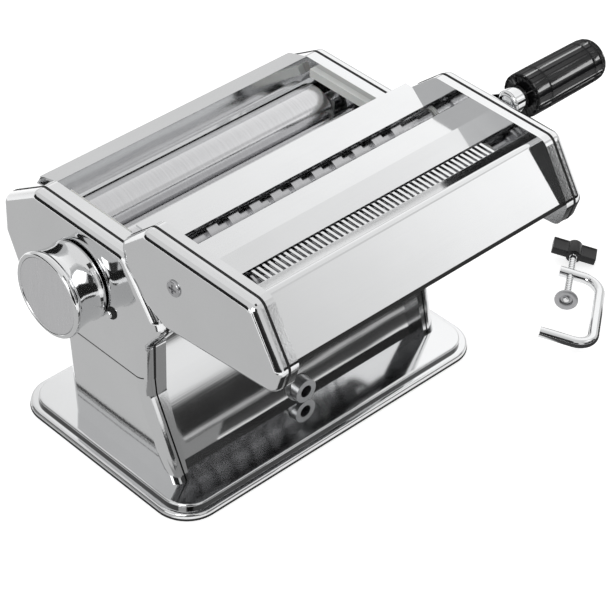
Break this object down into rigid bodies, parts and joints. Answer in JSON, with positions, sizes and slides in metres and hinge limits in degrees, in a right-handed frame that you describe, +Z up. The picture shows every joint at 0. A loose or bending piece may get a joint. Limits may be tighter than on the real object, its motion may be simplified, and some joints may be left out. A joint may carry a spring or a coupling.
{
  "type": "pasta roller machine",
  "caption": "Hand-cranked chrome dough roller on a pedestal base, with a thickness knob, a lift-off noodle cutter head and a screw table clamp.",
  "frame": {"origin": "middle of the base's underside, on the surface the machine stands on", "axes": "+X along the rollers towards the crank, -Y towards the cutter head at the front, +Z up"},
  "size_m": [0.3165, 0.1955, 0.1645],
  "materials": {
    "chrome": "polished",
    "satin_metal": "satin",
    "steel": "machined",
    "bush_plastic": "moulded",
    "black_plastic": "gloss",
    "rubber": "matt"
  },
  "bodies": {
    "machine": {"base_plate": "chrome", "base_feet": "rubber", "left_frame": "chrome", "right_frame": "chrome", "left_cover": "chrome", "right_cover": "chrome", "front_apron": "chrome", "rear_panel": "chrome", "rear_head_panel": "chrome", "rear_feed_plate": "chrome", "front_feed_plate": "chrome", "cutter_rail": "chrome", "front_scraper": "chrome", "tie_rods": "steel", "front_roller_bushes": "bush_plastic", "left_dough_guide": "bush_plastic", "right_dough_guide": "bush_plastic", "index_pin": "chrome", "clamp_socket": "steel", "clamp_bar": "chrome"},
    "drive_roller": {"front_roller": "steel", "drive_gear": "steel"},
    "carriage": {"left_slide_plate": "steel", "right_slide_plate": "steel", "shift_bar": "steel", "rear_roller_bushes": "bush_plastic", "rear_scraper": "steel"},
    "driven_roller": {"rear_roller": "steel", "driven_gear": "steel"},
    "adjuster": {"adjuster_shaft": "steel", "knob_retainer": "steel", "knob_spring": "steel"},
    "knob": {"knob_shell": "chrome", "knob_disc": "satin_metal"},
    "crank": {"crank_arm": "chrome", "grip_pin": "steel"},
    "grip": {"crank_grip": "black_plastic"},
    "cutter_head": {"left_cutter_frame": "chrome", "right_cutter_frame": "chrome", "left_cutter_cover": "chrome", "right_cutter_cover": "chrome", "cutter_cover_screws": "chrome", "cutter_bushes": "bush_plastic", "cutter_tie_rods": "steel", "cutter_rear_strip": "chrome", "hanger_plate": "chrome", "cutter_middle_panel": "chrome", "front_shroud": "chrome", "fine_comb": "chrome"},
    "fine_front": {"fine_front_cutter": "steel", "fine_front_cutter_gear": "steel"},
    "fine_rear": {"fine_rear_cutter": "steel", "fine_rear_cutter_gear": "steel"},
    "wide_front": {"wide_front_cutter": "steel", "wide_front_cutter_gear": "steel"},
    "wide_rear": {"wide_rear_cutter": "steel", "wide_rear_cutter_gear": "steel"},
    "clamp_foot": {"clamp_pad": "satin_metal"},
    "clamp_spindle": {"clamp_screw": "chrome", "clamp_wing": "black_plastic"}
  },
  "joints": [
    {"name": "drive_spin", "type": "hinge", "parent": "machine", "child": "drive_roller", "pos_m": [0, 0.007, 0.109], "axis": [1, 0, 0], "continuous": true},
    {"name": "knob_turn", "type": "hinge", "parent": "machine", "child": "adjuster", "pos_m": [-0.1, 0.0173, 0.1004], "axis": [1, 0, 0], "range_deg": [0, 180]},
    {"name": "roller_shift", "type": "slide", "parent": "machine", "child": "carriage", "axis": [0, -1, 0], "range_m": [0, 0.0025]},
    {"name": "driven_spin", "type": "hinge", "parent": "carriage", "child": "driven_roller", "pos_m": [0, 0.037, 0.109], "axis": [1, 0, 0], "continuous": true},
    {"name": "knob_pull", "type": "slide", "parent": "adjuster", "child": "knob", "axis": [-1, 0, 0], "range_m": [0, 0.005], "stiffness_N_per_m": 900, "springref_m": -0.004, "deforming": ["knob_spring"]},
    {"name": "crank_pull", "type": "slide", "parent": "drive_roller", "child": "crank", "axis": [1, 0, 0], "range_m": [0, 0.024]},
    {"name": "grip_spin", "type": "hinge", "parent": "crank", "child": "grip", "pos_m": [0.135, -0.06672, 0.15329], "axis": [1, 0, 0], "continuous": true},
    {"name": "cutter_lift", "type": "slide", "parent": "machine", "child": "cutter_head", "axis": [0, 0, 1], "range_m": [0, 0.06]},
    {"name": "fine_front_spin", "type": "hinge", "parent": "cutter_head", "child": "fine_front", "pos_m": [0, -0.08475, 0.131], "axis": [1, 0, 0], "continuous": true},
    {"name": "fine_rear_spin", "type": "hinge", "parent": "cutter_head", "child": "fine_rear", "pos_m": [0, -0.06925, 0.131], "axis": [1, 0, 0], "continuous": true},
    {"name": "wide_front_spin", "type": "hinge", "parent": "cutter_head", "child": "wide_front", "pos_m": [0, -0.04725, 0.134], "axis": [1, 0, 0], "continuous": true},
    {"name": "wide_rear_spin", "type": "hinge", "parent": "cutter_head", "child": "wide_rear", "pos_m": [0, -0.03175, 0.134], "axis": [1, 0, 0], "continuous": true},
    {"name": "clamp_feed", "type": "slide", "parent": "machine", "child": "clamp_foot", "axis": [-0.809, -0.5878, 0], "range_m": [-0.0165, 0.0105]},
    {"name": "clamp_turn", "type": "hinge", "parent": "clamp_foot", "child": "clamp_spindle", "pos_m": [0.17216, -0.06014, 0.0063], "axis": [-0.809, -0.5878, 0], "range_deg": [-3960, 2520]}
  ],
  "couplings": [
    {"joint": "driven_spin", "follows": "drive_spin", "ratio": -1},
    {"joint": "knob_turn", "follows": "roller_shift", "rad_per_m": 1256.6},
    {"joint": "fine_rear_spin", "follows": "fine_front_spin", "ratio": -1},
    {"joint": "wide_front_spin", "follows": "wide_rear_spin", "ratio": -1},
    {"joint": "clamp_turn", "follows": "clamp_feed", "rad_per_m": 4188.8}
  ]
}
